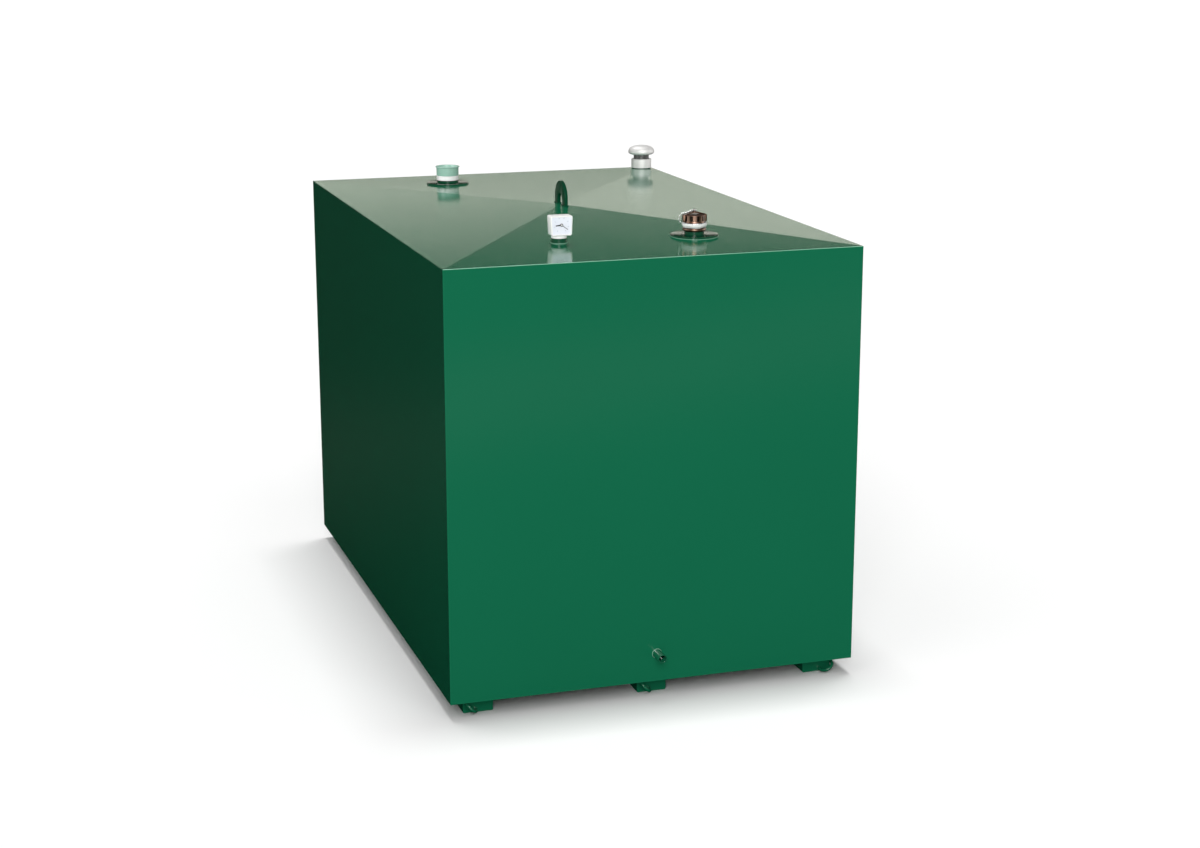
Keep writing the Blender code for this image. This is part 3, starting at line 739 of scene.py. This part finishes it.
# Cast bronze gone brown: warm satin highlights and an 11 mm casting mottle. Its slots and hollows are
# painted near black, a painted shade that deepens them.
bronze, tree, shader, place, cast = mottled("Brown satin cast bronze", 11.11, "#644738", "#8f6d58", 4.0,
                                            metallic=1.0, coat_weight=0.8, coat_roughness=0.15)
brown = shader.inputs["Base Color"].links[0].from_socket
# Painted shade: ambient occlusion over 8 mm darkens the slots and hollows towards near black.
shelter = add(tree, "AmbientOcclusion", {"Distance": 0.008}, samples=8).outputs["AO"]
painted_slot_shade = add(tree, "MapRange", {"Value": shelter, "From Min": 0.35, "From Max": 0.8}).outputs[0]
slot_shaded_bronze = add(tree, "Mix", {0: painted_slot_shade, 6: linear("#1d130d"), 7: brown}, data_type="RGBA")
tree.links.new(slot_shaded_bronze.outputs[2], shader.inputs["Base Color"])
rough = add(tree, "MapRange", {"Value": cast, "To Min": 0.26, "To Max": 0.38}).outputs[0]
tree.links.new(rough, shader.inputs["Roughness"])
relief = add(tree, "Bump", {"Height": cast, "Strength": 0.25, "Distance": 0.0003})
tree.links.new(relief.outputs[0], shader.inputs["Normal"])

line = soften([(0, 0.0205, 0), (0.035, 0.0205, 0.0054), (0.035, 0.0094, 0.0054), (0, 0.0094, 0)], 10)
fit(solid("fill_base", [turned(line)], bronze, seat), "bronze", "fill_base_ring")

# Soft moulded rubber: a dull clean white, which light soaks 4 mm into, so that its thin lip glows.
rubber = mottled("White soft rubber washer", 16.67, "#d6d9d7", "#e9ebe9", roughness=0.45,
                 subsurface_weight=0.2, subsurface_radius=(0.004, 0.004, 0.004))[0]

# The washer's lip stands up round the cap and waves, as it is pressed unevenly.
WASHER_WAVES, WASHER_WAVE, WASHER_START = 5, 0.0013, 0.6
WASHER_REACH, WASHER_LIP = 0.0364, 0.031
line = soften([(0.0, 0.0210, 0), (0.0300, 0.0215, 0.002), (0.0345, 0.0325, 0.0006),
               (WASHER_REACH, 0.0322, 0.001), (0.0362, 0.0255, 0.004), (0.0325, 0.0200, 0.002),
               (0.0, 0.0200, 0)])
corners, faces = turned(line, steps=120)
waved = []
for p, q, up in corners:
    out = max(0.0, math.hypot(p, q) / WASHER_REACH - 0.75) * 4
    wave = math.sin(WASHER_WAVES * math.atan2(q, p) + WASHER_START) * WASHER_WAVE * out
    waved.append((p, q, up + wave * (1.0 if up < WASHER_LIP else 0.3)))
fit(solid("fill_washer", [(waved, faces)], rubber, seat), "white_seal", "fill_seal")

# The cap is one casting: a drum with ten finger slots, which its two lugs interrupt, and a strap with
# a knob over the top.
DRUM = 0.0296
SLOTS = 10
SLOT_DEPTH, SLOT_HALF, SLOT_EASE = 0.0075, 7.2, 0.8
SLOT_FOOT, SLOT_HEAD = 0.0393, 0.0532
SLOT_TURN = 360 / SLOTS
LUG_CLEAR = 16
line = [(0, 0.0580), (0.020, 0.0578), (0.0262, 0.0570), (0.0286, 0.0558), (DRUM, 0.0544)]
line += [(DRUM, SLOT_HEAD + 0.0006), (DRUM, SLOT_HEAD), (DRUM, SLOT_FOOT), (DRUM, SLOT_FOOT - 0.0006)]
line += [(DRUM, 0.0380), (DRUM + 0.0008, 0.0362), (DRUM + 0.0010, 0.0336), (DRUM, 0.0330), (0, 0.0330)]
corners, faces = turned(line, SLOTS * 30)
drum = []
for p, q, up in corners:
    away, turn = math.hypot(p, q), math.degrees(math.atan2(q, p))
    off = abs(turn % SLOT_TURN - SLOT_TURN / 2)
    by_lug = abs(abs(turn) - 90) > 90 - LUG_CLEAR
    ease = min(1.0, max(0.0, (SLOT_HALF - off) / SLOT_EASE))
    if away > DRUM - 0.001 and ease > 0 and SLOT_FOOT - 0.0001 < up < SLOT_HEAD + 0.0001 and not by_lug:
        shrink = (away - SLOT_DEPTH * ease) / away
        p, q = p * shrink, q * shrink
    drum.append((p, q, up))
cap_parts = [(drum, faces)]

LUG_HALF = 0.0088
LUG_WEB_HALF = 0.0040
web = soften([(0.0225, 0.0400, 0.001), (0.0320, 0.0400, 0.001),
              (0.0320, 0.0565, 0.001), (0.0225, 0.0575, 0.001)], closed=True)
lug_layers = [(0.0016, -LUG_HALF), (0.0005, 0.0005 - LUG_HALF), (0.0, 0.0016 - LUG_HALF)]
lug_layers += [(inset, -along) for inset, along in reversed(lug_layers)]
for sign in (-1, 1):
    def lug(across, up, along):
        return (sign * across, sign * along, up)

    cap_parts.append(drawn_out(web, -LUG_WEB_HALF, LUG_WEB_HALF, lug))
    rings = []
    for inset, along in lug_layers:
        near, far, foot_up, head_up = 0.0292 + inset, 0.0364 - inset, 0.0348 + inset, 0.0580 - inset
        line = soften([(near, foot_up, 0.0025 - inset), (far, foot_up, 0.0050 - inset),
                       (far, head_up, 0.0055 - inset), (near, head_up, 0.0018 - inset)], 6, closed=True)
        rings.append([lug(a, u, along) for a, u in line])
    cap_parts.append(ringed(rings))
STRAP_HALF = 0.0070
strap_top = [(0.0090, 0.0648, 0.006), (0.0240, 0.0596, 0.006), (0.0345, 0.0572, 0.0012)]
strap_under = [(0.0345, 0.0536, 0.0012), (0.0235, 0.0560, 0.005), (0.0080, 0.0610, 0.005)]
strap = [(-a, u, radius) for a, u, radius in reversed(strap_top)] + strap_top
strap += strap_under + [(-a, u, radius) for a, u, radius in reversed(strap_under)]
strap = soften(strap, 6, closed=True)
cap_parts.append(drawn_out(strap, -STRAP_HALF, STRAP_HALF, lambda across, up, along: (across, -along, up)))
knob = soften([(0, 0.0723, 0), (0.0044, 0.0722, 0.0028), (0.0050, 0.0688, 0.002), (0.0034, 0.0670, 0.001),
               (0.0075, 0.0652, 0.001), (0.0080, 0.0630, 0.0005), (0, 0.0630, 0)], 6)
cap_parts.append(turned(knob, 40))
fit(solid("fill_cap_body", cap_parts, bronze, seat), "bronze", "fill_cap")

# Zinc-plated steel: each ball of the chain is a small bright glint, a little blurred.
plated = mottled("Bright zinc-plated steel wire", 3.33, "#e6e7e8", "#f6f6f7",
                 metallic=1.0, roughness=0.36)[0]

# The chain goes from a ring round the knob, over the cap's edge, to a ring in the washer. Its balls
# sit on a thin pin.
CHAIN_WAY = Vector((-0.95, 0.31, 0.0))
BALL = 0.0023
BALL_PITCH = 0.0093
PIN = 0.0006
route = [(0.0062, 0.0692), (0.0102, 0.0674), (0.0160, 0.0648), (0.0225, 0.0624), (0.0290, 0.0614)]
route += [(0.0345, 0.0602), (0.0395, 0.0565), (0.0432, 0.0512), (0.0446, 0.0455), (0.0441, 0.0400)]
route += [(0.0416, 0.0352), (0.0382, 0.0315)]
route = [CHAIN_WAY * away + Vector((0, 0, up)) for away, up in route]
lengths = [0.0]
for start, end in zip(route, route[1:]):
    lengths.append(lengths[-1] + (end - start).length)
balls = round(lengths[-1] / BALL_PITCH)
chain = [tube(route, PIN, sides=8)]
turns = [math.pi * k / 12 for k in range(13)]
ball = turned([(BALL * math.sin(turn), -BALL * math.cos(turn)) for turn in turns], 24)
for k in range(balls):
    want = (k + 0.5) * lengths[-1] / balls
    m = max(i for i in range(len(route) - 1) if lengths[i] <= want)
    share = (want - lengths[m]) / (lengths[m + 1] - lengths[m])
    chain.append(turned_to(ball, Matrix.Identity(3), route[m].lerp(route[m + 1], share)))
for radius, height, wire, steps in ((0.0052, 0.0695, 0.0009, 32), (0.0352, 0.0330, 0.0007, 96)):
    chain.append(tube([(p, q, height) for p, q in circle(radius, steps)], wire, closed=True, sides=8))
fit(solid("cap_ball_chain", chain, plated, seat), "chain_steel", "cap_chain")


# Dip point: the same flange, a threaded socket and a pale green moulded cap on two white rings,
# unscrewed to dip the oil.
DIP = station(-0.1994, 0.6545)
flange("dip_flange", DIP, FLANGE_TOP + 0.0015, shade_and_highlight_flange_coat)
seat = DIP + Vector((0, 0, FLANGE_TOP))
socket = turned(plug(0.0358, 0.0089, 0.001))
fit(solid("dip_socket_pipe", [socket], shade_painted_fitting_coat, seat), "green_coat", "dip_socket")

# Injection-moulded ABS: a clean white with a soft gloss, which the mould's 1 mm texture breaks up a little.
abs_white, tree, shader, place, drift = mottled("White moulded ABS", 33.33, "#ebeaea", "#f4f3f3",
                                                roughness=0.32)
spark = add(tree, "TexNoise", {"Vector": place, "Scale": 900.0, "Detail": 1.0}).outputs[0]
relief = add(tree, "Bump", {"Height": spark, "Strength": 0.15, "Distance": 0.0001})
tree.links.new(relief.outputs[0], shader.inputs["Normal"])

line = [(0, 0.0243, 0), (0.0368, 0.0243, 0.0010), (0.0368, 0.0180, 0.0010), (0.0358, 0.0176, 0.0002)]
line += [(0.0368, 0.0172, 0.0010), (0.0368, 0.0092, 0.0012), (0, 0.0092, 0)]
fit(solid("dip_rings", [turned(soften(line))], abs_white, seat), "white_seal", "dip_seal")

# A thin translucent moulding: light soaks 6 to 9 mm into the pale green, and its gloss is crisp.
mint = mottled("Pale green translucent moulded cap", 25.0, "#8fb8a8", "#a6cabd", roughness=0.22,
               subsurface_weight=0.25, subsurface_radius=(0.006, 0.009, 0.007))[0]

line = [(0, 0.0475, 0), (0.0325, 0.0475, 0.002), (0.0333, 0.0553, 0.0008), (0.0401, 0.0553, 0.0016)]
line += [(0.0401, 0.0520, 0.0012), (0.0372, 0.0510, 0.001), (0.0370, 0.0247, 0.0008), (0, 0.0247, 0)]
fit(solid("dip_cap_body", [turned(soften(line))], mint, seat), "pale_green_plastic", "dip_cap")


# Contents gauge: a socket on the roof and a moulded white head, whose dial and needle face the
# filling side.
GAUGE = station(-0.2005, -0.6274)
GAUGE_SOCKET = 0.0225
GAUGE_WELD = 0.0017
socket = turned(plug(GAUGE_SOCKET, 0.0142, 0.001))
fit(solid("gauge_socket_pipe", [socket], shade_painted_fitting_coat, GAUGE), "green_coat", "gauge_socket")
# The socket's weld is painted pale, a painted highlight.
ring = [(p, q, 0.0004) for p, q in circle(GAUGE_SOCKET, 64)]
weld = bead(ring, GAUGE_WELD, closed=True, seed=6)
fit(solid("gauge_socket_weld", [weld], painted_highlight_coat, GAUGE, crease=60), "green_coat")
line = soften([(0, 0.0238, 0), (0.019, 0.0238, 0), (0.019, 0.0192, 0), (0.0222, 0.0192, 0.0008),
               (0.0222, 0.0145, 0.0008), (0, 0.0145, 0)])
fit(solid("gauge_neck", [turned(line)], abs_white, GAUGE), "white_plastic", "gauge_collar")

CASE_LOW, CASE_HIGH = 0.0238, 0.0801
CASE_FRONT, CASE_BACK = -0.0295, 0.0080
CASE_WIDE, CASE_TAPER = 0.0652 / 2, 0.92
CASE_LIP, CASE_WELL = 0.0035, 0.0045
CARD_BACK = CASE_FRONT + CASE_WELL - 0.0003
CARD_FRONT = CARD_BACK - 0.0010


def case_ring(depth, inset, corner):
    """The gauge case's outline at a depth: wider at the top, its corners rounded."""
    low_wide, high_wide = CASE_WIDE * CASE_TAPER - inset, CASE_WIDE - inset
    line = [(-low_wide, CASE_LOW + inset, corner), (low_wide, CASE_LOW + inset, corner),
            (high_wide, CASE_HIGH - inset, corner), (-high_wide, CASE_HIGH - inset, corner)]
    return [(a, depth, u) for a, u in reversed(soften(line, 6, closed=True))]


case = ringed([case_ring(*ring) for ring in (
    (CASE_BACK, 0.0020, 0.0035),
    (CASE_BACK - 0.0006, 0.0006, 0.0045),
    (CASE_BACK - 0.0020, 0.0, 0.0050),
    (CASE_FRONT + 0.0024, 0.0, 0.0050),
    (CASE_FRONT + 0.0007, 0.0006, 0.0045),
    (CASE_FRONT, 0.0020, 0.0035),
    (CASE_FRONT, CASE_LIP - 0.0004, 0.0022),
    (CASE_FRONT + 0.0004, CASE_LIP, 0.0020),
    (CASE_FRONT + CASE_WELL, CASE_LIP, 0.0020),
)])
fit(solid("gauge_case", [case], abs_white, GAUGE), "white_plastic", "gauge_housing")

# Card printed with a pale ground: smooth, even, and a little bluer than the case round it.
dial = mottled("Blue-white printed dial card", 20.0, "#e3e6f2", "#ebedf6", roughness=0.4)[0]
card = ringed([case_ring(depth, CASE_LIP + 0.0002, 0.0018) for depth in (CARD_BACK, CARD_FRONT)])
fit(solid("gauge_dial_card", [card], dial, GAUGE), "dial_face", "gauge_dial")

HUB_UP = 0.0540
hub_at = GAUGE + Vector((0, CARD_FRONT, HUB_UP))
# Moulded plastic: a dark neutral grey with a dull shine.
grey_plastic = mottled("Dark grey moulded plastic", 5.0, "#38383b", "#4a4a4e", roughness=0.4)[0]
line = soften([(0, 0.0012, 0), (0.0026, 0.0012, 0.0001), (0.0029, 0.0016, 0.0001), (0.0044, 0.0016, 0.0004),
               (0.0044, 0.0002, 0), (0, 0.0002, 0)])
boss = turned_to(turned(line, 48), facing_front)
fit(solid("gauge_hub_boss", [boss], grey_plastic, hub_at), "grey_plastic", "gauge_hub")
hub_cap = turned_to(turned(plug(0.0024, 0.0020, 0.0006, 0.0010), 40), facing_front)
fit(solid("gauge_hub_cap", [hub_cap], abs_white, hub_at), "white_plastic")


def dial_bar(degrees, start, end, wide_start, wide_end, back, front):
    """A flat bar on the dial, outwards from its hub, between two distances in front of the card."""
    turn = math.radians(degrees)
    way, side = Vector((math.cos(turn), 0, math.sin(turn))), Vector((-math.sin(turn), 0, math.cos(turn)))
    flat = [way * start + side * wide_start / 2, way * start - side * wide_start / 2,
            way * end - side * wide_end / 2, way * end + side * wide_end / 2]
    return ringed([[p - Vector((0, off, 0)) for p in flat] for off in (back, front)])


# Printing ink in pale blue-grey: it lies flat, with the card's own soft shine.
tick_print = mottled("Pale blue-grey dial print", 3.33, "#a3acba", "#b4bcc9", roughness=0.5)[0]
TICKS = 8
TICK_FIRST, TICK_SWEEP = -54, 288
TICK_START, TICK_END, TICK_WIDE, TICK_THICK = 0.0185, 0.0225, 0.0011, 0.0002
ticks = []
for k in range(TICKS):
    degrees = TICK_FIRST + TICK_SWEEP * k / (TICKS - 1)
    ticks.append(dial_bar(degrees, TICK_START, TICK_END, TICK_WIDE, TICK_WIDE, -TICK_THICK / 2, TICK_THICK))
fit(solid("gauge_dial_ticks", ticks, tick_print, hub_at), "dial_face")

# Lacquer on thin metal: near black, with a narrow soft highlight.
black_lacquer = mottled("Black lacquered pointer", 3.33, "#18181a", "#242427", roughness=0.35)[0]
HAND_BACK, HAND_FRONT = 0.0005, 0.0011
pointer = dial_bar(185, 0.0040, 0.0172, 0.0035, 0.0030, HAND_BACK, HAND_FRONT)
fit(solid("gauge_pointer", [pointer], black_lacquer, hub_at), "black_plastic", "gauge_needle")
marker = dial_bar(-36, 0.0040, 0.0230, 0.0018, 0.0014, HAND_BACK, HAND_FRONT)
fit(solid("gauge_marker_hand", [marker], grey_plastic, hub_at), "grey_plastic", "gauge_marker")


# Vent: a machined aluminium body near the back right corner, with a gauze neck under a
# cast mushroom cap that keeps the rain out.
VENT = station(0.5687, 0.876)
# Bare aluminium, gone dull: a light silver grey, with the lathe's fine lines 0.6 mm apart.
alloy, tree, shader, place = grained("Machined and cast aluminium")
lathe = add(tree, "Mapping", {"Vector": place, "Scale": (30.0, 30.0, 1800.0)}).outputs[0]
lines = add(tree, "TexNoise", {"Vector": lathe, "Scale": 1.0, "Detail": 3.0}).outputs[0]
tint = add(tree, "Mix", {0: lines, 6: linear("#dad9d8"), 7: linear("#edecea")}, data_type="RGBA")
tree.links.new(tint.outputs[2], shader.inputs["Base Color"])
rough = add(tree, "MapRange", {"Value": lines, "To Min": 0.54, "To Max": 0.64}).outputs[0]
tree.links.new(rough, shader.inputs["Roughness"])
relief = add(tree, "Bump", {"Height": lines, "Strength": 0.1, "Distance": 0.0001})
tree.links.new(relief.outputs[0], shader.inputs["Normal"])
shader.inputs["Metallic"].default_value = 0.6
line = soften([(0, 0.0339, 0), (0.0338, 0.0339, 0.0006), (0.0353, 0.0322, 0.0008), (0.0353, 0.0022, 0.0008),
               (0.0325, 0.0020, 0.0), (0, 0.0020, 0)])
fit(solid("vent_body_turned", [turned(line)], alloy, VENT), "aluminium", "vent_body")
socket = turned(plug(0.0330, 0.0020, 0.0004, -0.0012))
fit(solid("vent_socket_pipe", [socket], shade_painted_fitting_coat, VENT), "green_coat")

# Woven steel wire, weathered: a dull mid grey that breaks up into fine light and dark.
gauze = mottled("Dull grey steel gauze", 1.667, "#5a5a5a", "#7c7c7b", metallic=1.0, roughness=0.42)[0]
GAUZE = 0.0264
GAUZE_WIRES = 48
GAUZE_LOW, GAUZE_HIGH = 0.0360, 0.0462
line = soften([(0, 0.0487, 0), (0.0271, 0.0487, 0), (0.0271, 0.0460, 0.0008), (0.0262, 0.0455, 0),
               (0.0262, 0.0366, 0), (0.0271, 0.0361, 0.0008), (0.0271, 0.0341, 0), (0, 0.0341, 0)])
neck = [turned(line)]
for p, q in circle(GAUZE, GAUZE_WIRES):
    neck.append(tube([(p, q, GAUZE_LOW), (p, q, GAUZE_HIGH)], 0.0006, sides=6))
for up in (0.0380, 0.0400, 0.0420, 0.0440):
    neck.append(tube([(p, q, up) for p, q in circle(GAUZE, 96)], 0.0005, closed=True, sides=6))
fit(solid("vent_gauze", neck, gauze, VENT), "shaded_metal", "vent_neck")

# The cap's upper and lower halves are each a quarter of a superellipse, from its top to its rim and
# from its rim in under it.
CAP_REACH, CAP_RIM, CAP_TOP = 0.0464, 0.0580, 0.0813
CAP_FOOT, CAP_NECK = 0.0487, 0.0290
CAP_FULLNESS, CAP_UNDER = 2 / 2.5, 2 / 2.1
dome_line = [(0.0, CAP_TOP)]
for k in range(1, 31):
    turn = math.radians(90 - 90 * k / 30)
    dome_line.append((CAP_REACH * math.cos(turn) ** CAP_FULLNESS,
                      CAP_RIM + (CAP_TOP - CAP_RIM) * math.sin(turn) ** CAP_FULLNESS))
for k in range(1, 17):
    turn = math.radians(90 * k / 16)
    dome_line.append((CAP_NECK + (CAP_REACH - CAP_NECK) * math.cos(turn) ** CAP_UNDER,
                      CAP_RIM - (CAP_RIM - CAP_FOOT) * math.sin(turn) ** CAP_UNDER))
dome_line.append((0.0, CAP_FOOT))
fit(solid("vent_mushroom_cap", [turned(dome_line)], alloy, VENT), "aluminium", "vent_cap")
